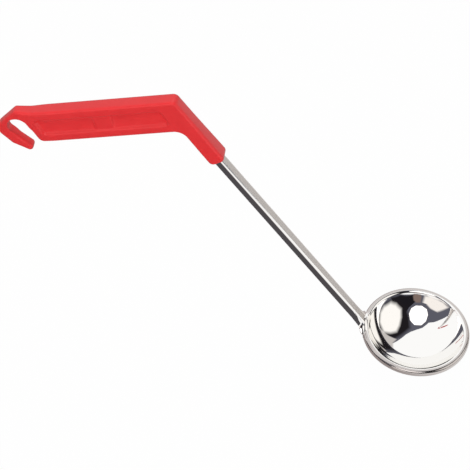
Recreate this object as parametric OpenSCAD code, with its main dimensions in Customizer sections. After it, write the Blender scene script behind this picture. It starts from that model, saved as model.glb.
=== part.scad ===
/* [Bowl] */
// Outer radius of the rolled lip
lip_outer_r = 32.6; // [29:0.1:40]
// Outer radius of the roll, seen in section
lip_roll_r = 2.1; // [1.5:0.05:2.6]
// How far the roll's outer edge hangs below the roll's centre
lip_drop = 1.3; // [0.3:0.1:2]
// Inside depth of the bowl, from the top of the lip
bowl_depth = 17.2; // [14:0.1:28]
// Thickness of the stainless sheet
sheet = 1.2; // [0.8:0.05:1.3]

/* [Shaft] */
// Angle between the shaft and the bowl's axis
shaft_lean = 37; // [20:0.5:45]
// From the lip to the middle of the handle's bend
shaft_length = 201.5; // [160:0.5:260]
// Width of the channel's front face
channel_w = 7; // [6:0.1:7.4]
// Depth of the channel's flanges
channel_d = 4.4; // [3.8:0.1:5]
// Outside radius of the channel's folded corners
fold_r = 1.4; // [1.3:0.05:1.7]
// Width of the opened-out sheet where it meets the lip
neck_w = 15.5; // [12:0.1:18]
// Length of the stretch in which the flanges open out
neck_length = 8; // [5:0.1:12]

/* [Tang] */
// From the middle of the bend to the end of the tang
tang_setback = 5; // [3:0.5:12]
// Diameter of the holes that key the moulding to the tang
key_d = 3; // [2:0.1:3.6]
// Distance between the two holes
key_pitch = 14; // [8:0.5:16]
// From the end of the moulding to the first hole
key_inset = 12; // [8:0.5:14]
// Gap that the moulding leaves round the steel as it shrinks
mould_gap = 0.05; // [0.02:0.01:0.1]

/* [Stub] */
// From the middle of the bend to the end of the moulding
stub_length = 40.5; // [40:0.5:60]
// Width of the stub
stub_w = 9.8; // [9.8:0.1:12]
// Depth of the stub
stub_d = 9.8; // [9:0.1:12]
// Rounding of the stub's end
stub_end_r = 3; // [2:0.1:4]

/* [Grip] */
// Angle inside the bend, between the stub and the grip
bend_angle = 108.5; // [100:0.5:125]
// From the middle of the bend to the outside of the hook
grip_length = 107; // [95:0.5:130]
// Width of the grip between its flat sides
grip_w = 8.6; // [7.8:0.1:9.6]
// Depth of the grip from its back to its belly
grip_d = 23; // [21:0.5:26]
// Rounding of all long edges
edge_r = 1.8; // [1:0.1:2]
// Rounding of the bend's outside and of the grip's end at the slot
corner_r = 3.6; // [2.5:0.1:6]
// Fillet inside the bend
belly_r = 7; // [3:0.5:12]

/* [Side recess] */
// Depth of the recess in each side
recess_depth = 2; // [1.2:0.1:2.4]
// Height of the recess
recess_h = 13; // [9:0.5:14]
// Distance from the middle of the bend to the recess
recess_start = 5.5; // [5:0.5:14]
// Wall between the recess and the hook's slot
recess_wall = 4.8; // [4:0.1:12]
// Rounding of the recess's corners
recess_r = 2; // [1:0.1:4]
// Height of the pad on the recess's floor
pad_height = 1.1; // [0.5:0.1:1.2]
// Length of the pad
pad_length = 11; // [6:0.5:16]
// Distance from the middle of the bend to the pad
pad_start = 38.5; // [30:0.5:50]

/* [Hook] */
// Radius of the eye that hangs on a rail
eye_r = 6; // [5:0.1:6.5]
// Height of the eye's centre above the grip's centreline
eye_rise = 1.2; // [0:0.1:2]
// Thickness of the hook's arm at the grip's end
arm_t = 6.2; // [5:0.1:7]
// Thickness left between the eye and the flat on the hook's back
flat_t = 3; // [2.8:0.1:5]
// Thickness of the hook's free tail
tail_t = 4.5; // [4.2:0.1:5.5]
// Distance from the eye's centre to the middle of the tail's round end
tail_reach = 17; // [15:0.1:18]
// Width of the hook between its flat sides
hook_w = 6.2; // [5.4:0.1:7.4]

/* [Hidden] */
steel = "silver";
red_plastic = "crimson";
hair = 0.02;
lap = 0.05;

// Lip and bowl in section: the inner sphere runs over into the lip's roll without a crease
roll_centre_r = lip_outer_r - lip_roll_r;
bowl_r = (roll_centre_r * roll_centre_r + bowl_depth * bowl_depth) / (2 * bowl_depth) - lip_roll_r;
bowl_centre_z = bowl_r - bowl_depth;
wall_angle = asin(roll_centre_r / (bowl_r + lip_roll_r));

// The shaft's front face is tangent to the lip's roll
face_x = -roll_centre_r + lip_roll_r * cos(shaft_lean);
face_z = -lip_roll_r + lip_roll_r * sin(shaft_lean);
tang_length = stub_length - tang_setback;

// Middle of the bend, and the grip's slope measured from the bowl's axis
bend_x = face_x - shaft_length * sin(shaft_lean) - channel_d / 2 * cos(shaft_lean);
bend_z = face_z + shaft_length * cos(shaft_lean) - channel_d / 2 * sin(shaft_lean);
grip_slope = shaft_lean + 180 - bend_angle;

// Hook: the slot's straight side leaves the eye as a tangent, and angles are taken round the eye
eye_x = grip_length - arm_t - eye_r;
slot_slope = 75;
slot_x = eye_x - eye_r * sin(slot_slope);
slot_y = eye_rise + eye_r * cos(slot_slope);
crown_rise = 2.1;
crown_setback = 2.3;
crown_angle = 95;
flat_slope = 51;
root_angle = -40;
knee_angle = -66;
knee_reach = 11.8;
knee_t = 5.3;
tail_angle = -94;
waist_x = eye_x - 20;
arm_root_x = waist_x + 4;
arm_root_w = grip_w - 1;
slot_w = (grip_w + hook_w) / 2;
bar_half = grip_d / 2 - corner_r;
recess_slant = 3;
slot_mid_x = slot_x - slot_y / tan(slot_slope) - corner_r / sin(slot_slope);

// Corners of the bend, seen from the side: centres of their roundings
belly_x = (stub_d - grip_d * cos(180 - bend_angle)) / 2 / sin(bend_angle);
corner_shift = corner_r * tan((180 - bend_angle) / 2);
back_corner = [-belly_x + corner_shift, bar_half];
belly_corner = [belly_x, -bar_half];

// Puts a shape drawn with x across, y out of the front face and z up the shaft in its place
module on_shaft() {
    translate([face_x, 0, face_z]) rotate([0, -shaft_lean, 0]) rotate([0, 0, -90]) children();
}

// Puts a shape drawn with x towards the hook, y towards the back and z across in its place
module on_grip() {
    translate([bend_x, 0, bend_z]) rotate([0, 270 - grip_slope, 0]) rotate([-90, 0, 0]) children();
}

// Half section of the bowl's wall and of the lip rolled outwards from it
module bowl_section() {
    difference() {
        translate([0, bowl_centre_z]) circle(r = bowl_r + sheet, $fn = 200);
        translate([0, bowl_centre_z]) circle(r = bowl_r, $fn = 200);
        translate([-2 * bowl_r, -2 * bowl_r]) square([2 * bowl_r, 4 * bowl_r]);
        translate([0, bowl_centre_z]) rotate(wall_angle - 90)
            translate([-2 * bowl_r, 0]) square(4 * bowl_r);
    }
    translate([roll_centre_r, -lip_roll_r]) difference() {
        circle(r = lip_roll_r, $fn = 48);
        circle(r = lip_roll_r - sheet, $fn = 32);
        translate([-lip_outer_r, -2 * lip_outer_r]) square(2 * lip_outer_r);
        rotate(wall_angle - 90) translate([-lip_outer_r, -2 * lip_outer_r - hair]) square(2 * lip_outer_r);
    }
    translate([lip_outer_r - sheet, -lip_roll_r - lip_drop]) square([sheet, lip_drop + hair]);
}

// Rectangle below the front face's line, with its two front corners rounded
module rounded_front(w, d, r) {
    translate([-w / 2, -d]) square([w, d - r]);
    translate([-w / 2 + r, -d]) square([w - 2 * r, d]);
    for (side = [-1, 1]) translate([side * (w / 2 - r), -r]) circle(r = r, $fn = 32);
}

// Folded channel in section, open at the back, grown by a gap all round
module channel_section(gap = 0) {
    difference() {
        translate([0, gap]) rounded_front(channel_w + 2 * gap, channel_d + 2 * gap, fold_r + gap);
        channel_hollow(gap);
    }
}

module channel_hollow(gap = 0) {
    half = channel_w / 2 - sheet - gap;
    translate([-half, -2 * channel_d]) square([2 * half, 2 * channel_d - sheet - gap]);
}

// Pegs or holes across the tang's front sheet
module keys(d) {
    for (i = [0, 1]) translate([0, 1, shaft_length - stub_length + key_inset + i * key_pitch])
        rotate([90, 0, 0]) cylinder(d = d, h = sheet + 2, $fn = 32);
}

// Shaft and tang, one folded strip
module shaft() {
    on_shaft() difference() {
        translate([0, 0, neck_length])
            linear_extrude(shaft_length - tang_setback - neck_length) channel_section();
        keys(key_d);
    }
}

// Saddle at the lip: the front sheet widens while the flanges open out and run into it
module neck() {
    on_shaft() difference() {
        hull() {
            translate([0, 0, neck_length]) linear_extrude(hair)
                rounded_front(channel_w, channel_d, fold_r);
            translate([-neck_w / 2, -sheet, 0]) cube([neck_w, sheet, hair]);
        }
        hull() {
            translate([0, 0, neck_length]) linear_extrude(1) channel_hollow();
            translate([-neck_w, -2 * channel_d, -1]) cube([2 * neck_w, 2 * channel_d - sheet, 1]);
        }
    }
}

module ladle() {
    color(steel) {
        rotate_extrude($fn = 160) bowl_section();
        shaft();
        neck();
    }
}

// Disc lying in the grip's plane with its rim rounded on both sides, as the corner of a moulded form
module puck(place, r, w) {
    translate(place) for (side = [-1, 1]) translate([0, 0, side * (w / 2 - edge_r)])
        rotate_extrude($fn = 32) intersection() {
            translate([r - edge_r, 0]) circle(r = edge_r, $fn = 16);
            translate([0, -edge_r]) square([r, 2 * edge_r]);
        }
}

// Place on the stub: along from the bend's middle to its end, and across towards the belly
function on_stub(along, across) = [
    along * cos(bend_angle) + across * sin(bend_angle),
    across * cos(bend_angle) - along * sin(bend_angle)];

// Round tapering bar from the bend's two corners to the stub's end
module stub_form() {
    hull() {
        puck(back_corner, corner_r, grip_w);
        puck(on_stub(corner_r, stub_d / 2 - corner_r), corner_r, grip_w);
        for (side = [-1, 1])
            puck(on_stub(stub_length - stub_end_r, side * (stub_d / 2 - stub_end_r)), stub_end_r, stub_w);
    }
}

// Flat-sided bar, and its end that grows slimmer towards the slot
module bar_form() {
    hull() {
        puck(back_corner, corner_r, grip_w);
        puck(belly_corner, corner_r, grip_w);
        for (side = [-1, 1]) puck([waist_x, side * bar_half], corner_r, grip_w);
    }
    hull() {
        for (side = [-1, 1]) {
            puck([waist_x, side * bar_half], corner_r, grip_w);
            puck([slot_mid_x + side * bar_half / tan(slot_slope), side * bar_half], corner_r, slot_w);
        }
    }
    linear_extrude(grip_w - 2 * edge_r, center = true) belly_fillet();
}

module belly_fillet() {
    half_turn = (180 - bend_angle) / 2;
    reach = belly_r * tan(half_turn);
    centre = [belly_x + reach, -grip_d / 2 - belly_r];
    difference() {
        polygon([
            [belly_x, -grip_d / 2 + 1], [belly_x + reach, -grip_d / 2 + 1], [belly_x + reach, -grip_d / 2],
            centre, [belly_x, -grip_d / 2] + reach * [cos(bend_angle), -sin(bend_angle)]]);
        translate(centre) circle(r = belly_r, $fn = 96);
    }
}

// Arm over the eye, arc round it, and the bent tail
module hook_form() {
    hull() {
        puck([arm_root_x, bar_half], corner_r, arm_root_w);
        puck([eye_x - crown_setback, bar_half + crown_rise], corner_r, hook_w);
        puck([eye_x - crown_setback, eye_rise + eye_r], edge_r + hair, hook_w);
    }
    intersection() {
        translate([eye_x, eye_rise, 0]) rotate([0, 0, root_angle])
            rotate_extrude(angle = crown_angle - root_angle, $fn = 96)
                translate([eye_r, 0]) arm_section();
        translate([eye_x, eye_rise, 0]) rotate(flat_slope)
            translate([-2 * grip_d, -2 * grip_d, -hook_w])
                cube([2 * grip_d + eye_r + flat_t, 4 * grip_d, 2 * hook_w]);
    }
    hull() {
        puck(round_eye(eye_r + arm_t / 2, root_angle), arm_t / 2 + lap, hook_w);
        puck(round_eye(knee_reach, knee_angle), knee_t / 2, hook_w);
    }
    hull() {
        puck(round_eye(knee_reach, knee_angle), knee_t / 2, hook_w);
        puck(round_eye(tail_reach, tail_angle), tail_t / 2, hook_w);
    }
}

function round_eye(reach, angle) = [eye_x, eye_rise] + reach * [cos(angle), sin(angle)];

// Rounded rectangle swept round the eye
module arm_section() {
    translate([edge_r, -hook_w / 2]) square([arm_t - 2 * edge_r, hook_w]);
    translate([0, -hook_w / 2 + edge_r]) square([arm_t, hook_w - 2 * edge_r]);
    for (x = [edge_r, arm_t - edge_r], y = [-1, 1]) translate([x, y * (hook_w / 2 - edge_r)])
        circle(r = edge_r, $fn = 24);
}

// Recess of one side, with slanted ends and a raised pad
module recess() {
    half = recess_h / 2;
    slot_side = slot_x - slot_y / tan(slot_slope) - recess_wall / sin(slot_slope);
    difference() {
        linear_extrude(grip_w) offset(r = recess_r, $fn = 32) offset(delta = -recess_r) polygon([
            [recess_start, -half], [recess_start + recess_slant, half],
            [slot_side + half / tan(slot_slope), half], [slot_side - half / tan(slot_slope), -half]]);
        translate([pad_start, -recess_h, -hair]) cube([pad_length, 2 * recess_h, pad_height + hair]);
    }
}

module grip() {
    color(red_plastic) difference() {
        on_grip() difference() {
            union() {
                stub_form();
                bar_form();
                hook_form();
            }
            for (side = [0, 1]) mirror([0, 0, side])
                translate([0, 0, grip_w / 2 - recess_depth]) recess();
            translate([eye_x, eye_rise, -grip_w]) cylinder(r = eye_r, h = 2 * grip_w, $fn = 64);
        }
        on_shaft() difference() {
            translate([0, 0, shaft_length - stub_length - 1])
                linear_extrude(tang_length + 1 + mould_gap) channel_section(mould_gap);
            keys(key_d - 2 * mould_gap);
        }
    }
}

ladle();
grip();
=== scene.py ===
import math

import bpy
from mathutils import Matrix, Vector
from mathutils.geometry import area_tri, delaunay_2d_cdt


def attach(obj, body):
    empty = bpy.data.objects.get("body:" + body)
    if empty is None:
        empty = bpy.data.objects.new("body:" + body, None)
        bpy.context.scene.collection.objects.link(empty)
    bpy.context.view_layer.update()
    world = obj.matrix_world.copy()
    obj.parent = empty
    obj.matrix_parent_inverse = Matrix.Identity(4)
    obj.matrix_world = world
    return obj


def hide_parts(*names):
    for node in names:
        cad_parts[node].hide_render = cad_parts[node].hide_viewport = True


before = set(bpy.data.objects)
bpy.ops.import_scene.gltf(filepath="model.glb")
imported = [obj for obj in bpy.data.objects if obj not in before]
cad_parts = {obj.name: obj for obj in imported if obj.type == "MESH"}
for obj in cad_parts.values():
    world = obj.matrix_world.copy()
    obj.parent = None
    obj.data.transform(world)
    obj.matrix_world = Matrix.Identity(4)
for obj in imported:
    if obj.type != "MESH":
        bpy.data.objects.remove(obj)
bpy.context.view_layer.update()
mm = 0.001


def linearColour(code):
    channels = [int(code[i:i + 2], 16) / 255 for i in (1, 3, 5)]
    return [c / 12.92 if c <= 0.04045 else ((c + 0.055) / 1.055) ** 2.4 for c in channels] + [1.0]


def addNode(tree, kind, settings=None, links=None):
    node = tree.nodes.new(kind)
    for name, value in (settings or {}).items():
        if isinstance(name, str) and hasattr(node, name):  # the others are input sockets
            setattr(node, name, value)
        else:
            node.inputs[name].default_value = value
    for name, source in (links or {}).items():
        tree.links.new(source, node.inputs[name])
    return node


def newMaterial(name):
    material = bpy.data.materials.new(name)
    material.use_nodes = True
    material.node_tree.nodes.clear()
    return material, material.node_tree


# Points are in millimetres, in the object's own frame
def newPiece(name, points, faces, materials):
    mesh = bpy.data.meshes.new(name)
    mesh.from_pydata([tuple(c * mm for c in p) for p in points], [], faces)
    mesh.validate()
    mesh.shade_smooth()
    for material in materials:
        mesh.materials.append(material)
    piece = bpy.data.objects.new(name, mesh)
    bpy.context.scene.collection.objects.link(piece)
    return piece


def smooth(x, low, high):
    share = min(1.0, max(0.0, (x - low) / (high - low)))
    return share * share * (3 - 2 * share)


# Even steps from one value to another, without the first
def stepsBetween(start, end, count):
    return [start + (end - start) * k / count for k in range(1, count + 1)]


def inside(point, ring):
    x, y = point
    found = False
    for (x1, y1), (x2, y2) in zip(ring, ring[1:] + ring[:1]):
        if (y1 > y) != (y2 > y) and x < x1 + (y - y1) / (y2 - y1) * (x2 - x1):
            found = not found
    return found


# The bowl's mouth is the origin, the handle leans towards -X and +Z is up. Lengths are in millimetres
bowl = dict(lipOuterR=32.6, rollR=2.1, lipDrop=1.3, depth=17.2, sheet=1.2,
            brokenEdge=[(0, 0.3), (0.1, 0.08), (0.3, 0)],
            turns=288, insideSteps=96, rollSteps=48, underSteps=16, outsideSteps=64)
shaft = dict(lean=37, length=201.5, width=7, depth=4.4, foldR=1.4, tangSetback=5)

lean = math.radians(shaft["lean"])
rollCentreR = bowl["lipOuterR"] - bowl["rollR"]
bowlR = (rollCentreR ** 2 + bowl["depth"] ** 2) / (2 * bowl["depth"]) - bowl["rollR"]
bowlCentreZ = bowlR - bowl["depth"]
wallAngle = math.asin(rollCentreR / (bowlR + bowl["rollR"]))
floorZ = -(bowl["depth"] + bowl["sheet"])
shaftUp = Vector((-math.sin(lean), 0, math.cos(lean)))
shaftFront = Vector((math.cos(lean), 0, math.sin(lean)))
sideways = Vector((0, 1, 0))
faceStart = Vector((-rollCentreR, 0, -bowl["rollR"])) + bowl["rollR"] * shaftFront


# Circles passed on one side or the other (negative radius), joined by their tangents
def beltOutline(pulleys, step):
    headings = []
    for i, (x1, y1, r1) in enumerate(pulleys):
        x2, y2, r2 = pulleys[(i + 1) % len(pulleys)]
        distance = math.hypot(x2 - x1, y2 - y1)
        headings.append(math.atan2(y2 - y1, x2 - x1) - math.asin((r2 - r1) / distance))
    rim = []
    for i, (x, y, r) in enumerate(pulleys):
        turn = (headings[i] - headings[i - 1]) % math.tau - (math.tau if r < 0 else 0)
        steps = max(3, math.ceil(abs(turn * r) / step))
        for k in range(steps + 1):
            heading = headings[i - 1] + turn * k / steps
            inward = (-math.sin(heading), math.cos(heading))
            rim.append(((x - r * inward[0], y - r * inward[1]), inward))
    outline, straightStep = [], 1.6 * step
    for i, (p, inward) in enumerate(rim):
        outline.append((p, inward))
        q = rim[(i + 1) % len(rim)][0]
        pieces = int(math.dist(p, q) / straightStep)
        for k in range(1, pieces):
            outline.append((tuple(a + (b - a) * k / pieces for a, b in zip(p, q)), inward))
    return outline


def shifted(outline, distance):
    return [(x + distance * nx, y + distance * ny) for (x, y), (nx, ny) in outline]


# Flat region between one outer ring and its holes, with loose points inside, as triangles. A patch that no
# ring divides is kept or left out as a whole, so that slivers along a ring can't open the surface
def flatRegion(rings, loose):
    flat, edges, tinyGap, tinyArea = [], [], 1e-6, 1e-4
    for ring in rings:
        first = len(flat)
        flat += ring
        edges += [(first + k, first + (k + 1) % len(ring)) for k in range(len(ring))]
    made = delaunay_2d_cdt([Vector(p) for p in flat + loose], edges, [], 0, tinyGap, True)
    points, triangles, origins = made[0], made[2], made[3]
    index = [o[0] for o in origins]
    walls = {frozenset(edge) for edge in edges}
    sharing = {}
    for t, corners in enumerate(triangles):
        for k in range(3):
            side = frozenset((index[corners[k - 1]], index[corners[k]]))
            if side not in walls:
                sharing.setdefault(side, []).append(t)
    links = [[] for t in triangles]
    for pair in sharing.values():
        for t in pair:
            links[t] += pair
    kept, seen = [], set()
    for first in range(len(triangles)):
        patch, waiting = [], [first]
        while waiting:
            t = waiting.pop()
            if t not in seen:
                seen.add(t)
                patch.append(t)
                waiting += links[t]
        sizes = [(area_tri(*(points[k] for k in triangles[t])), t) for t in patch]
        if sizes and max(sizes)[0] > tinyArea:
            middle = sum((points[k] for k in triangles[max(sizes)[1]]), Vector((0, 0))) / 3
            if inside(middle, rings[0]) and not any(inside(middle, r) for r in rings[1:]):
                kept += [[index[k] for k in triangles[t]] for t in patch]
    return kept


# Stainless sheet, pressed and then polished to a mirror: crisp reflections, with the slow waves that
# polishing leaves
def makeMirrorSteel():
    look = dict(tint="#fbfaf8", roughness=0.035, waveMm=9.0, waveHeightMm=0.012, bump=0.5)
    material, tree = newMaterial("mirrorSteel")
    place = addNode(tree, "ShaderNodeTexCoord")
    wave = addNode(tree, "ShaderNodeTexNoise", {"Scale": 1 / (look["waveMm"] * mm), "Detail": 1.0},
                   {"Vector": place.outputs["Object"]})
    bump = addNode(tree, "ShaderNodeBump", {
        "Strength": look["bump"], "Distance": look["waveHeightMm"] * mm}, {"Height": wave.outputs["Fac"]})
    shader = addNode(tree, "ShaderNodeBsdfPrincipled", {
        "Base Color": linearColour(look["tint"]), "Metallic": 1.0, "Roughness": look["roughness"]},
        {"Normal": bump.outputs["Normal"]})
    addNode(tree, "ShaderNodeOutputMaterial", links={"Surface": shader.outputs[0]})
    return material


# The lip, buffed with a belt: the same steel with a softer, greyer reflection. The belt's marks are finer
# than a pixel, so they are drawn as coarse as they need to be to show
def makeBeltedSteel():
    look = dict(tint="#cbc5c2", roughness=0.16, markMm=0.6, markHeightMm=0.005, bump=0.15)
    material, tree = newMaterial("beltedSteel")
    place = addNode(tree, "ShaderNodeTexCoord")
    marks = addNode(tree, "ShaderNodeTexNoise", {"Scale": 1 / (look["markMm"] * mm), "Detail": 2.0},
                    {"Vector": place.outputs["Object"]})
    bump = addNode(tree, "ShaderNodeBump", {
        "Strength": look["bump"], "Distance": look["markHeightMm"] * mm}, {"Height": marks.outputs["Fac"]})
    shader = addNode(tree, "ShaderNodeBsdfPrincipled", {
        "Base Color": linearColour(look["tint"]), "Metallic": 1.0, "Roughness": look["roughness"]},
        {"Normal": bump.outputs["Normal"]})
    addNode(tree, "ShaderNodeOutputMaterial", links={"Surface": shader.outputs[0]})
    return material


# The same sheet ground along the shaft: a soft sheen with fine lines that run up the handle. Real grinding
# lines are under 0.1 mm apart, and these are drawn as coarse as they need to be to show
def makeSatinSteel():
    look = dict(tint="#d1ccc8", dark="#bab4b0", roughness=0.33, lineMm=0.35, stretch=60,
                lineHeightMm=0.01, bump=0.25)
    material, tree = newMaterial("satinSteel")
    place = addNode(tree, "ShaderNodeTexCoord")
    turned = addNode(tree, "ShaderNodeMapping", {
        "Rotation": (0, lean, 0), "Scale": (1, 1, 1 / look["stretch"])}, {"Vector": place.outputs["Object"]})
    lines = addNode(tree, "ShaderNodeTexNoise", {"Scale": 1 / (look["lineMm"] * mm), "Detail": 2.0},
                    {"Vector": turned.outputs["Vector"]})
    tint = addNode(tree, "ShaderNodeMix", {"data_type": "RGBA"}, {0: lines.outputs["Fac"]})
    tint.inputs[6].default_value = linearColour(look["dark"])
    tint.inputs[7].default_value = linearColour(look["tint"])
    bump = addNode(tree, "ShaderNodeBump", {
        "Strength": look["bump"], "Distance": look["lineHeightMm"] * mm}, {"Height": lines.outputs["Fac"]})
    shader = addNode(tree, "ShaderNodeBsdfPrincipled", {"Metallic": 1.0, "Roughness": look["roughness"]},
                     {"Base Color": tint.outputs[2], "Normal": bump.outputs["Normal"]})
    addNode(tree, "ShaderNodeOutputMaterial", links={"Surface": shader.outputs[0]})
    return material


# Polypropylene moulded in a finely textured tool: an even satin red with a faint pink sheen. The real grain
# of about 0.1 mm wouldn't show, so it is drawn as coarse as it needs to be
def makeRedPlastic():
    look = dict(red="#da2a2e", deep="#cd2126", roughness=0.34, ior=1.55, grainMm=0.45,
                grainHeightMm=0.03, bump=0.35, cloudMm=7.0)
    material, tree = newMaterial("redPolypropylene")
    place = addNode(tree, "ShaderNodeTexCoord")
    cloud = addNode(tree, "ShaderNodeTexNoise", {"Scale": 1 / (look["cloudMm"] * mm), "Detail": 3.0},
                    {"Vector": place.outputs["Object"]})
    grain = addNode(tree, "ShaderNodeTexNoise", {"Scale": 1 / (look["grainMm"] * mm), "Detail": 2.0},
                    {"Vector": place.outputs["Object"]})
    tint = addNode(tree, "ShaderNodeMix", {"data_type": "RGBA"}, {0: cloud.outputs["Fac"]})
    tint.inputs[6].default_value = linearColour(look["deep"])
    tint.inputs[7].default_value = linearColour(look["red"])
    bump = addNode(tree, "ShaderNodeBump", {
        "Strength": look["bump"], "Distance": look["grainHeightMm"] * mm}, {"Height": grain.outputs["Fac"]})
    shader = addNode(tree, "ShaderNodeBsdfPrincipled", {"Roughness": look["roughness"], "IOR": look["ior"]},
                     {"Base Color": tint.outputs[2], "Normal": bump.outputs["Normal"]})
    addNode(tree, "ShaderNodeOutputMaterial", links={"Surface": shader.outputs[0]})
    return material


mirrorSteel, satinSteel, beltedSteel, redPlastic = (
    makeMirrorSteel(), makeSatinSteel(), makeBeltedSteel(), makeRedPlastic())
print("materials made")


# Half section of the bowl: up the inside, over the rolled lip, and down the outside
def bowlSection():
    roll, inner, outer = bowl["rollR"], bowl["rollR"] - bowl["sheet"], bowlR + bowl["sheet"]
    rollTurn = math.pi / 2 + wallAngle
    section = []
    for a in [0.0] + stepsBetween(0, wallAngle, bowl["insideSteps"]):
        section.append((bowlR * math.sin(a), bowlCentreZ - bowlR * math.cos(a)))
    for a in stepsBetween(rollTurn, 0, bowl["rollSteps"]):
        section.append((rollCentreR + roll * math.cos(a), roll * (math.sin(a) - 1)))
    foot = -roll - bowl["lipDrop"]  # the lip's straight end, with its outer edge broken
    section += [(bowl["lipOuterR"] - back, foot + up) for back, up in bowl["brokenEdge"]]
    section.append((bowl["lipOuterR"] - bowl["sheet"], foot))
    for a in [0.0] + stepsBetween(0, rollTurn, bowl["underSteps"]):
        section.append((rollCentreR + inner * math.cos(a), inner * math.sin(a) - roll))
    for a in stepsBetween(wallAngle, 0, bowl["outsideSteps"]):
        section.append((outer * math.sin(a), bowlCentreZ - outer * math.cos(a)))
    return section


def makeBowl():
    section = bowlSection()
    turns, points, faces = bowl["turns"], [], []
    top, bottom = section[0], section[-1]
    ring = section[1:-1]
    for k in range(turns):
        a = math.tau * k / turns
        points += [(r * math.cos(a), r * math.sin(a), z) for r, z in ring]
    size = len(ring)
    for k in range(turns):
        here, there = k * size, (k + 1) % turns * size
        faces += [(here + j, here + j + 1, there + j + 1, there + j) for j in range(size - 1)]
    points += [(0, 0, top[1]), (0, 0, bottom[1])]
    for k in range(turns):
        here, there = k * size, (k + 1) % turns * size
        faces.append((len(points) - 2, here, there))
        faces.append((len(points) - 1, there + size - 1, here + size - 1))
    return points, faces


neck = dict(softTop=13, softFoot=4, flareTop=6.5, flareFoot=0.2, halfLength=9.6, footTurn=22)
strip = dict(faceSteps=6, foldSteps=12, flangeSteps=14, foot=-0.6, fineStep=0.4, fineCount=37, plainFrom=14,
             plainCount=40)


# Closed outline of the folded strip. Towards the lip its folds grow rounder and it spreads into a low arch
def stripOutline(height):
    half, midR = shaft["width"] / 2 - shaft["foldR"], shaft["foldR"] - bowl["sheet"] / 2
    fold = midR * math.pi / 2
    full = half + fold + shaft["depth"] - shaft["foldR"]
    soft = 1 - smooth(height, neck["softFoot"], neck["softTop"])
    flare = 1 - smooth(height, neck["flareFoot"], neck["flareTop"])
    spread = 1 + (neck["halfLength"] / full - 1) * flare
    start = half * (1 - flare)
    curved = fold + (full - half - fold) * soft + half * flare
    last = math.pi / 2 * (1 - flare) + math.radians(neck["footTurn"]) * flare
    marks = [0.0] + stepsBetween(0, half, strip["faceSteps"])
    marks += stepsBetween(half, half + fold, strip["foldSteps"])
    marks += stepsBetween(half + fold, full, strip["flangeSteps"])
    x, y, before, turned, line = 0.0, 0.0, 0.0, 0.0, []
    for mark in marks:
        turn = last * min(1, max(0, (mark - start) / curved))
        step = (mark - before) * spread
        x, y = x + step * math.cos((turn + turned) / 2), y - step * math.sin((turn + turned) / 2)
        line.append((x, y, turn))
        before, turned = mark, turn
    skin = bowl["sheet"] / 2
    front = [(x + skin * math.sin(a), y + skin * math.cos(a) - skin) for x, y, a in line]
    back = [(x - skin * math.sin(a), y - skin * math.cos(a) - skin) for x, y, a in line]
    right = front + back[::-1]
    left = [(-x, y) for x, y in (back[1:] + front[::-1][:-1])]
    return right + left


# Shaft, neck and tang: one folded strip
def makeShaft():
    stations = [strip["foot"] + strip["fineStep"] * k for k in range(strip["fineCount"])]
    stations += stepsBetween(strip["plainFrom"], shaft["length"] - shaft["tangSetback"], strip["plainCount"])
    points, faces = [], []
    for height in stations:
        for x, y in stripOutline(height):
            points.append(tuple(faceStart + height * shaftUp + y * shaftFront + x * sideways))
    size = len(points) // len(stations)
    for k in range(len(stations) - 1):
        here, there = k * size, (k + 1) * size
        faces += [(here + j, here + (j + 1) % size, there + (j + 1) % size, there + j) for j in range(size)]
    faces.append(tuple(range(size))[::-1])
    faces.append(tuple(range(len(points) - size, len(points))))
    return points, faces


saddle = dict(half=10.6, arch=5.3, archPower=1.3, wallDrop=3.5, endDrop=0.8, knee=3.5, kneeSlope=15, run=3.2,
              rows=61, steps=24, sheet=0.7, topSink=0.04, footSink=0.15)


# Height on the shaft's face at which its ground front ends in an arch
def archHeight(y):
    return saddle["arch"] * (1 - min(1, abs(y) / saddle["half"]) ** saddle["archPower"])


# The saddle: a smooth knee from that arch over the lip and down into the bowl's wall. Its rims are sunk a
# little, so that they don't flicker with the faces that they meet
def makeSaddle():
    rows, steps = saddle["rows"], saddle["steps"]
    span = neck["halfLength"] / math.radians(neck["footTurn"])
    slope = math.radians(saddle["kneeSlope"])
    points, faces = [], []
    for i in range(rows):
        y = saddle["half"] * (2 * i / (rows - 1) - 1)
        full = 1 - (y / saddle["half"]) ** 2
        start = faceStart + archHeight(y) * shaftUp + (-y * y / 2 / span - saddle["topSink"]) * shaftFront
        z = -saddle["endDrop"] - (saddle["wallDrop"] - saddle["endDrop"]) * full
        wallR = math.sqrt(bowlR ** 2 - (bowlCentreZ - z) ** 2)
        turn = math.asin(wallR / bowlR)
        end = Vector((-math.sqrt(wallR ** 2 - y * y), 0, z))
        knee = start + full * saddle["knee"] * Vector((math.cos(slope), 0, -math.sin(slope)))
        rise = end + full * saddle["run"] * Vector((-math.cos(turn), 0, math.sin(turn)))
        end -= saddle["footSink"] * shaftFront
        for k in range(steps + 1):
            t = k / steps  # place along a Bezier curve
            p = (1 - t) ** 3 * start + 3 * t * (1 - t) ** 2 * knee + 3 * t * t * (1 - t) * rise + t ** 3 * end
            points.append((p.x, y, p.z))
    top, under = len(points), saddle["sheet"] * shaftFront
    points += [(x - under.x, y, z - under.z) for x, y, z in points]
    row = steps + 1
    for i in range(rows - 1):
        for k in range(steps):
            a, b = i * row + k, (i + 1) * row + k
            faces += [(a, a + 1, b + 1, b), (a + top, b + top, b + top + 1, a + top + 1)]
    rim = list(range(row)) + [(i + 1) * row - 1 for i in range(1, rows)]
    rim += [(rows - 1) * row + k for k in range(steps - 1, -1, -1)]
    rim += [i * row for i in range(rows - 2, 0, -1)]
    for a, b in zip(rim, rim[1:] + rim[:1]):
        faces.append((a, a + top, b + top, b))
    return points, faces


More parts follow.
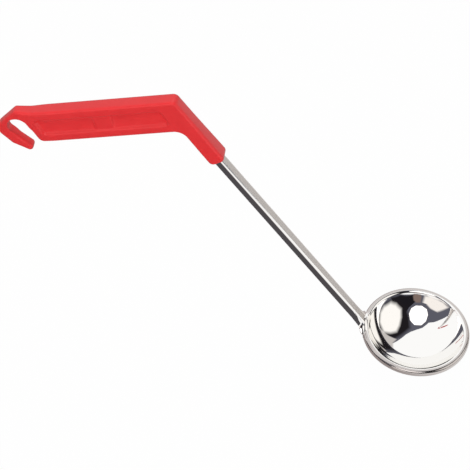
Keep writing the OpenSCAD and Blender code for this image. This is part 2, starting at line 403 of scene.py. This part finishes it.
# The three overlap as one piece of steel
ladlePoints, ladleFaces, partOfFace = [], [], []
for part, (points, faces) in (("bowl", makeBowl()), ("shaft", makeShaft()), ("saddle", makeSaddle())):
    ladleFaces += [tuple(k + len(ladlePoints) for k in f) for f in faces]
    partOfFace += [part] * len(faces)
    ladlePoints += points
satinSlot, beltedSlot = 1, 2
ladlePiece = newPiece("pressedLadle", ladlePoints, ladleFaces, [mirrorSteel, satinSteel, beltedSteel])

# Ground front between the folds, and a belted lip; the rest is mirror steel
finish = dict(satinHalf=2.3, satinOverlap=0.5, satinFacing=0.93, beltedOverlap=0.5, beltedFacing=-0.5,
              sharpEdge=40)
for polygon in ladlePiece.data.polygons:
    middle = polygon.center / mm
    height = (middle - faceStart).dot(shaftUp)
    part = partOfFace[polygon.index]
    overArch = height > archHeight(middle.y) - finish["satinOverlap"]
    ahead = polygon.normal.dot(shaftFront) > finish["satinFacing"]
    if part == "shaft" and overArch and ahead and abs(middle.y) < finish["satinHalf"]:
        polygon.material_index = satinSlot
    onLip = math.hypot(middle.x, middle.y) > rollCentreR - finish["beltedOverlap"]
    if part == "bowl" and onLip and polygon.normal.z > finish["beltedFacing"]:
        polygon.material_index = beltedSlot
ladlePiece.data.set_sharp_from_angle(angle=math.radians(finish["sharpEdge"]))
print("ladle made")


grip = dict(bend=108.5, stubLength=40.5, stubD=9.8, stubW=9.8, stubEndR=3, stubTaperFrom=4, depth=23,
            width=8.6, edgeR=1.8, eyeEdgeR=0.8, eyeEdgeFrom=0.3, eyeEdgeTo=2.4, cornerR=3.6, bellyR=7,
            eyeU=94.8, eyeV=1.2, eyeR=6, hookW=6.2, hookFrom=74, hookTo=98, slotSlope=75,
            hookArm=[(93.6, -15.8, 2.2), (99.8, -9.4, 3.2), (100.6, -0.5, 6.7), (92.6, 11.2, 2.0)],
            backDipU=82, backDipR=20, rimStep=0.6, edgeSteps=8, netU=range(-14, 106, 3),
            netV=range(-44, 14, 3), netClear=1.2)
recess = dict(depth=2, height=13, start=5.5, wall=4.8, slant=3, cornerR=3, wallWidth=2.0, scoop=0.6,
              padStart=38.5, padLength=11, padHeight=1.1, padOuterEdge=0.3, padInnerEdge=0.35, padMidEdge=0.1,
              wallSteps=12, netU=range(6, 80, 2), netV=range(-5, 6), netClear=0.8, rimClear=1, footClear=0.25)

bendPoint = faceStart + shaft["length"] * shaftUp - shaft["depth"] / 2 * shaftFront
gripSlope = math.radians(shaft["lean"] + 180 - grip["bend"])
gripAlong = Vector((-math.sin(gripSlope), 0, math.cos(gripSlope)))
gripBack = Vector((math.cos(gripSlope), 0, math.sin(gripSlope)))
bend = math.radians(grip["bend"])
slot = math.radians(grip["slotSlope"])
slotU = grip["eyeU"] - grip["eyeR"] * math.sin(slot)
slotV = grip["eyeV"] + grip["eyeR"] * math.cos(slot)
padEnd = recess["padStart"] + recess["padLength"]


# Places on the grip's side are (u, v): u runs from the bend to the hook and v towards its back
def onStub(along, out):
    return (along * math.cos(bend) + out * math.sin(bend), out * math.cos(bend) - along * math.sin(bend))


# Half the width of the moulding at a place on its side
def halfWidth(u, v):
    along = u * math.cos(bend) - v * math.sin(bend)
    stub = (grip["stubW"] - grip["width"]) / 2 * smooth(along, grip["stubTaperFrom"], grip["stubLength"])
    hook = (grip["width"] - grip["hookW"]) / 2 * smooth(u, grip["hookFrom"], grip["hookTo"])
    return grip["width"] / 2 + stub - hook


# The edges are rounder on the outside of the moulding than in the hook's eye
def edgeRadius(u, v):
    away = math.hypot(u - grip["eyeU"], v - grip["eyeV"]) - grip["eyeR"]
    return grip["eyeEdgeR"] + (grip["edgeR"] - grip["eyeEdgeR"]) * smooth(
        away, grip["eyeEdgeFrom"], grip["eyeEdgeTo"])


# Side view of the moulding: the stub's end, the belly, the corner at the slot, the hook's eye and arm, the
# dip in the back, and the bend
def gripOutline():
    half, r = grip["depth"] / 2, grip["cornerR"]
    endR, stubHalf = grip["stubEndR"], grip["stubD"] / 2
    bellyU = (grip["stubD"] + grip["depth"] * math.cos(bend)) / 2 / math.sin(bend)
    cornerShift = r * math.tan((math.pi - bend) / 2)
    bellyReach = grip["bellyR"] * math.tan((math.pi - bend) / 2)
    slotMidU = slotU - slotV / math.tan(slot) - r / math.sin(slot)
    return beltOutline([
        (*onStub(grip["stubLength"] - endR, endR - stubHalf), endR),
        (*onStub(grip["stubLength"] - endR, stubHalf - endR), endR),
        (bellyU + bellyReach, -half - grip["bellyR"], -grip["bellyR"]),
        (slotMidU - (half - r) / math.tan(slot), r - half, r),
        (grip["eyeU"], grip["eyeV"], -grip["eyeR"]),
        *grip["hookArm"],
        (grip["backDipU"], half + grip["backDipR"], -grip["backDipR"]),
        (cornerShift - bellyU, half - r, r)], grip["rimStep"])


# Side view of the recess, with a slanted wall at the bend and one along the slot at the hook
def recessOutline():
    slant, top, r = recess["slant"], recess["height"] / 2, recess["cornerR"]
    startTan, slotTan = recess["height"] / slant, math.tan(slot)
    wallU = slotU - slotV / slotTan - recess["wall"] / math.sin(slot)
    startShift, slotShift = math.hypot(1, 1 / startTan) * r, r / math.sin(slot)
    return beltOutline([
        (recess["start"] + r / startTan + startShift, r - top, r),
        (wallU + (r - top) / slotTan - slotShift, r - top, r),
        (wallU + (top - r) / slotTan - slotShift, top - r, r),
        (recess["start"] + slant - r / startTan + startShift, top - r, r)], grip["rimStep"])


# The recess is a shallow scoop, deepest along its middle, with a raised pad across it
def pocketDepth(u, v):
    rise = smooth(u, recess["padStart"] - recess["padOuterEdge"], recess["padStart"] + recess["padInnerEdge"])
    fall = 1 - smooth(u, padEnd - recess["padInnerEdge"], padEnd + recess["padOuterEdge"])
    scoop = 1 - recess["scoop"] * min(1, abs(2 * v / recess["height"])) ** 2
    return recess["depth"] * scoop - recess["padHeight"] * rise * fall * (scoop ** 2)


# Points of the net on the recess's floor, close together at the pad's two edges
def floorNet(pocket):
    outer, mid, inner = recess["padOuterEdge"], recess["padMidEdge"], recess["padInnerEdge"]
    lines = [recess["padStart"] + d for d in (-outer, -mid, mid, inner)]
    lines += [padEnd + d for d in (-inner, -mid, mid, outer)]
    plain = [u for u in recess["netU"] if all(abs(u - w) > recess["netClear"] for w in lines)]
    foot = shifted(pocket, recess["wallWidth"] + recess["footClear"])
    return [(u, v) for u in lines + plain for v in recess["netV"] if inside((u, v), foot)]


# Fills a flat region of the grip's side, or the recess's floor, and adds the loose points inside it
def cap(points, ringIds, rings, loose, sign, onFloor):
    triangles = flatRegion(rings, loose)
    ids = [k for ring in ringIds for k in ring]
    start = len(points)
    points += [(u, v, sign * (halfWidth(u, v) - (pocketDepth(u, v) if onFloor else 0))) for u, v in loose]
    ids += list(range(start, len(points)))
    made = [tuple(ids[k] for k in t) for t in triangles]
    return made if sign > 0 else [t[::-1] for t in made]


# One side of the moulding: its rounded edge, its flat, and the recess. The first ring is also given back
def gripSide(points, outline, pocket, sign):
    faces, edgeRings, pocketRings = [], [], []
    for a in [0.0] + stepsBetween(0, math.pi / 2, grip["edgeSteps"]):
        start = len(points)
        for (u, v), (nu, nv) in outline:
            edge = edgeRadius(u, v)
            reach, drop = edge * (1 - math.cos(a)), edge * (1 - math.sin(a))
            points.append((u + reach * nu, v + reach * nv, sign * (halfWidth(u, v) - drop)))
        edgeRings.append(range(start, len(points)))
    for share in [0.0] + stepsBetween(0, 1, recess["wallSteps"]):
        start, drop = len(points), smooth(share, 0, 1)
        for u, v in shifted(pocket, recess["wallWidth"] * share):
            points.append((u, v, sign * (halfWidth(u, v) - drop * pocketDepth(u, v))))
        pocketRings.append(range(start, len(points)))
    for rings, size in ((edgeRings, len(outline)), (pocketRings, len(pocket))):
        for low, high in zip(rings, rings[1:]):
            quads = [(low[j], low[(j + 1) % size], high[(j + 1) % size], high[j]) for j in range(size)]
            faces += quads if sign > 0 else [q[::-1] for q in quads]
    outerRing, pocketTop, pocketFoot = (
        [points[k][:2] for k in ring] for ring in (edgeRings[-1], pocketRings[0], pocketRings[-1]))
    core, rim = shifted(outline, grip["edgeR"] + grip["netClear"]), shifted(pocket, -recess["rimClear"])
    net = [(u, v) for u in grip["netU"] for v in grip["netV"]]
    net = [p for p in net if inside(p, core) and not inside(p, rim)]
    faces += cap(points, [edgeRings[-1], pocketRings[0]], [outerRing, pocketTop], net, sign, False)
    faces += cap(points, [pocketRings[-1]], [pocketFoot], floorNet(pocket), sign, True)
    return faces, edgeRings[0]


def makeGrip():
    outline, pocket = gripOutline(), recessOutline()
    points, size = [], len(outline)
    faces, front = gripSide(points, outline, pocket, 1)
    backFaces, back = gripSide(points, outline, pocket, -1)
    faces += backFaces
    faces += [(front[j], back[j], back[(j + 1) % size], front[(j + 1) % size]) for j in range(size)]
    return [tuple(bendPoint + u * gripAlong + v * gripBack + w * sideways) for u, v, w in points], faces


gripPiece = newPiece("mouldedGrip", *makeGrip(), [redPlastic])
print("grip made")

for piece, node, slot in ((ladlePiece, "ladle", "stainless_steel"), (gripPiece, "grip", "red_plastic")):
    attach(piece, "root")
    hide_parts(node)


# The camera stands where the photograph was taken from
view = dict(place=(-55.9, -805.4, 1032.0), right=(0.9872, 0.1471, 0.0617), back=(0.047, -0.6382, 0.7685),
            focalPx=2163, framePx=470, shiftPx=(0.9, -0.5), sensor=36, nearM=0.05, farM=20)


def makeCamera():
    lens = bpy.data.cameras.new("camera")
    lens.sensor_width = view["sensor"]
    lens.lens = view["sensor"] * view["focalPx"] / view["framePx"]
    lens.shift_x, lens.shift_y = (d / view["framePx"] for d in view["shiftPx"])
    lens.clip_start = view["nearM"]
    lens.clip_end = view["farM"]
    camera = bpy.data.objects.new("camera", lens)
    bpy.context.scene.collection.objects.link(camera)
    back = Vector(view["back"]).normalized()
    right = Vector(view["right"])
    right = (right - right.dot(back) * back).normalized()
    turn = Matrix((right, back.cross(right), back)).transposed().to_4x4()
    camera.matrix_world = Matrix.Translation(Vector(view["place"]) * mm) @ turn
    bpy.context.scene.camera = camera


makeCamera()


# Cards that only reflections see, with a rim that fades out; they stand for the studio round the ladle
def makeCard(name, rings, colour, strength):
    material, tree = newMaterial(name)
    cover = addNode(tree, "ShaderNodeAttribute", {"attribute_name": "cover"})
    glow = addNode(tree, "ShaderNodeEmission", {"Color": linearColour(colour), "Strength": strength})
    clear = addNode(tree, "ShaderNodeBsdfTransparent")
    mix = addNode(tree, "ShaderNodeMixShader", links={
        0: cover.outputs["Fac"], 1: clear.outputs[0], 2: glow.outputs[0]})
    addNode(tree, "ShaderNodeOutputMaterial", links={"Surface": mix.outputs[0]})
    size = len(rings[0])
    points = [p for ring in rings for p in ring]
    middle = tuple(sum(p[i] for p in rings[-1]) / size for i in range(3))
    faces = [(r * size + k, r * size + (k + 1) % size, (r + 1) * size + (k + 1) % size, (r + 1) * size + k)
             for r in range(len(rings) - 1) for k in range(size)]
    inner = (len(rings) - 1) * size
    faces += [(inner + k, inner + (k + 1) % size, len(points)) for k in range(size)]
    card = newPiece(name, points + [middle], faces, [material])
    coverOfPoint = card.data.attributes.new("cover", "FLOAT", "POINT")
    for k, value in enumerate(coverOfPoint.data):
        value.value = 0.0 if k < size and len(rings) > 1 else 1.0
    for kind in ("camera", "diffuse", "shadow", "transmission"):
        setattr(card, "visible_" + kind, False)


# A direction as degrees away from straight up, towards +X and towards +Y
def skyPoint(x, y, distance):
    away, a = math.radians(math.hypot(x, y)), math.atan2(y, x)
    return (distance * math.sin(away) * math.cos(a), distance * math.sin(away) * math.sin(a),
            distance * math.cos(away))


# A card across part of the sky; fade is the share of its half width over which its rim fades in
def skyCard(name, outline, distance, colour, fade, strength=1.0):
    fine, parts = [], 4
    for (x1, y1), (x2, y2) in zip(outline, outline[1:] + outline[:1]):
        fine += [(x1 + (x2 - x1) * k / parts, y1 + (y2 - y1) * k / parts) for k in range(parts)]
    cx, cy = (sum(p[i] for p in outline) / len(outline) for i in (0, 1))
    shares = [0.0, fade, (1 + fade) / 2]
    rings = [[skyPoint(x + (cx - x) * share, y + (cy - y) * share, distance) for x, y in fine]
             for share in shares]
    makeCard(name, rings, colour, strength)


skyCard("darkRoom", [
    (-86, -24), (-55, -29), (-37, -28), (-24, -18), (-12.6, -7.5), (-1, -2), (10, 5), (18, 14), (28, 31),
    (39, 51), (56, 71), (69, 58), (84, 31), (90, 0), (84, -31), (67, -56), (39, -68), (13, -77), (-13, -77),
    (-39, -68), (-67, -56)], distance=5200, colour="#5c5c67", fade=0.03)
skyCard("blackGap", [
    (30, 14), (34, 0), (34, -20), (37, -36), (56, -40), (80, -38), (56, -62), (39, -67), (22, -75), (6, -76),
    (7, -70), (11, -60), (17, -52), (23, -44), (27, -32), (25, -15), (26, 0)],
    distance=3400, colour="#1d1b1f", fade=0.16)
skyCard("brownBoard", [(-2, -58), (9, -56), (18, -60), (23, -69), (21, -76), (2, -78), (-3, -72)],
        distance=3200, colour="#806f68", fade=0.3)
skyCard("blackEdge", [
    (85, -22), (72, -46), (56, -52), (30, -48), (15, -28), (8, -3), (17, 11), (34, 38), (60, 51), (80, 38),
    (88, 8)], distance=3200, colour="#1f1c1f", fade=0.2)
skyCard("leftCard", [
    (85, -12), (72, -36), (56, -42), (38, -38), (32, -20), (31, 0), (34, 18), (46, 31), (60, 42), (77, 30),
    (86, 8)], distance=2900, colour="#fdfaf6", strength=1.05, fade=0.25)
skyCard("greyBoard", [
    (31, 31), (48, 35), (68, 36), (82, 34), (74, 50), (60, 66), (40, 76), (33, 62), (36, 46)],
    distance=3000, colour="#c6c1be", fade=0.2)
skyCard("rightCard", [
    (-3, -60), (-13, -58), (-25, -47), (-43, -37), (-62, -38), (-76, -38), (-63, -55), (-44, -67),
    (-22, -76), (-6, -77), (-5, -72)], distance=3000, colour="#f2ece7", strength=1.08, fade=0.25)
skyCard("softbox", [
    (20.5, -31.3), (18.2, -43.7), (9.2, -51.6), (-4.9, -53.3), (-17.6, -46.8), (-21.3, -35.2), (-18, -21.5),
    (-9.1, -12.4), (5.1, -11.3), (15.3, -18.9)], distance=2800, colour="#fffcfa", strength=1.5, fade=0.03)

# A dark board that stands on the table, and a dark sheet in front of the ladle, level with its lip
board = dict(left=(570, 278), right=(508, 392), foot=floorZ + 1, top=110, colour="#3a3638")
boardRim = [(*board["left"], board["foot"]), (*board["right"], board["foot"]),
            (*board["right"], board["top"]), (*board["left"], board["top"])]
makeCard("lowBoard", [boardRim], board["colour"], 1.0)

flag = dict(turns=range(190, 249, 3), leftTo=203, leftR=36, nearR=33.4, farR=1600, height=0.2,
            colour="#4d4a4d")
polar = [(flag["leftR"] if a < flag["leftTo"] else flag["nearR"], a) for a in flag["turns"]]
polar += [(flag["farR"], a) for a in reversed(flag["turns"])]
flagRim = [(r * math.cos(math.radians(a)), r * math.sin(math.radians(a)), flag["height"]) for r, a in polar]
makeCard("frontFlag", [flagRim], flag["colour"], 1.0)


# White paper: it burns out to white for the camera but mirrors as a painted pale grey, darker towards -X (a
# painted reflection), and it keeps soft shadows
def makeFloor():
    look = dict(paper="#cfcfcf", paintedReflectionLeft="#b9b1b0", paintedReflectionRight="#fbfaf9", burn=0.98,
                fromX=-30, toX=50, reach=4000)
    material, tree = newMaterial("paperFloor")
    rays = addNode(tree, "ShaderNodeLightPath")
    paper = addNode(tree, "ShaderNodeBsdfDiffuse", {"Color": linearColour(look["paper"])})
    white = addNode(tree, "ShaderNodeEmission", {"Color": (1, 1, 1, 1), "Strength": 1.0})
    ground = addNode(tree, "ShaderNodeNewGeometry")
    place = addNode(tree, "ShaderNodeSeparateXYZ", links={0: ground.outputs["Position"]})
    across = addNode(tree, "ShaderNodeMapRange", {
        "interpolation_type": "SMOOTHSTEP", 1: look["fromX"] * mm, 2: look["toX"] * mm},
        {0: place.outputs[0]})
    # Painted reflection: what mirrors see of the floor is a fixed grey emission, darker towards -X
    tone = addNode(tree, "ShaderNodeMix", {"data_type": "RGBA"}, {0: across.outputs[0]})
    tone.inputs[6].default_value = linearColour(look["paintedReflectionLeft"])
    tone.inputs[7].default_value = linearColour(look["paintedReflectionRight"])
    grey = addNode(tree, "ShaderNodeEmission", {"Strength": 1.0}, {"Color": tone.outputs[2]})
    burn = addNode(tree, "ShaderNodeMath", {"operation": "MULTIPLY", 1: look["burn"]},
                   {0: rays.outputs["Is Camera Ray"]})
    seen = addNode(tree, "ShaderNodeMixShader", links={
        0: burn.outputs[0], 1: paper.outputs[0], 2: white.outputs[0]})
    mix = addNode(tree, "ShaderNodeMixShader", links={
        0: rays.outputs["Is Glossy Ray"], 1: seen.outputs[0], 2: grey.outputs[0]})
    addNode(tree, "ShaderNodeOutputMaterial", links={"Surface": mix.outputs[0]})
    far = look["reach"]
    corners = [(-far, -far, floorZ), (far, -far, floorZ), (far, far, floorZ), (-far, far, floorZ)]
    floor = newPiece("floor", corners, [(0, 1, 2, 3)], [material])


# White all round for the camera and for reflections, dimmer as light on the ladle
def makeWorld():
    look = dict(fill=0.4, white=1.0)
    world = bpy.data.worlds.new("studio")
    bpy.context.scene.world = world
    world.use_nodes = True
    tree = world.node_tree
    tree.nodes.clear()
    rays = addNode(tree, "ShaderNodeLightPath")
    seen = addNode(tree, "ShaderNodeMath", {"operation": "MAXIMUM"}, {
        0: rays.outputs["Is Camera Ray"], 1: rays.outputs["Is Glossy Ray"]})
    seen = addNode(tree, "ShaderNodeMath", {"operation": "MAXIMUM"}, {
        0: seen.outputs[0], 1: rays.outputs["Is Transmission Ray"]})
    fill = addNode(tree, "ShaderNodeBackground", {"Color": (1, 1, 1, 1), "Strength": look["fill"]})
    white = addNode(tree, "ShaderNodeBackground", {"Color": (1, 1, 1, 1), "Strength": look["white"]})
    mix = addNode(tree, "ShaderNodeMixShader", links={
        0: seen.outputs[0], 1: fill.outputs[0], 2: white.outputs[0]})
    addNode(tree, "ShaderNodeOutputWorld", links={"Surface": mix.outputs[0]})


lampAim = (-0.1, 0, 0.06)


# Places and sizes of lamps are in metres
def makeLamp(name, place, size, watts, colour):
    data = bpy.data.lights.new(name, "AREA")
    data.shape, data.size, data.energy = "DISK", size, watts
    data.color = linearColour(colour)[:3]
    lamp = bpy.data.objects.new(name, data)
    bpy.context.scene.collection.objects.link(lamp)
    lamp.location = place
    lamp.rotation_euler = (Vector(place) - Vector(lampAim)).to_track_quat("Z", "Y").to_euler()
    lamp.visible_glossy = False  # the cards stand for the lamps in reflections


makeFloor()
makeWorld()
makeLamp("softboxLight", place=(-0.1, -1.9, 1.3), size=0.8, watts=36, colour="#fffaf4")
makeLamp("topLight", place=(-0.3, 0.6, 2.0), size=1.4, watts=17, colour="#ffffff")
bpy.context.scene.view_settings.view_transform = "Standard"
print("studio made")
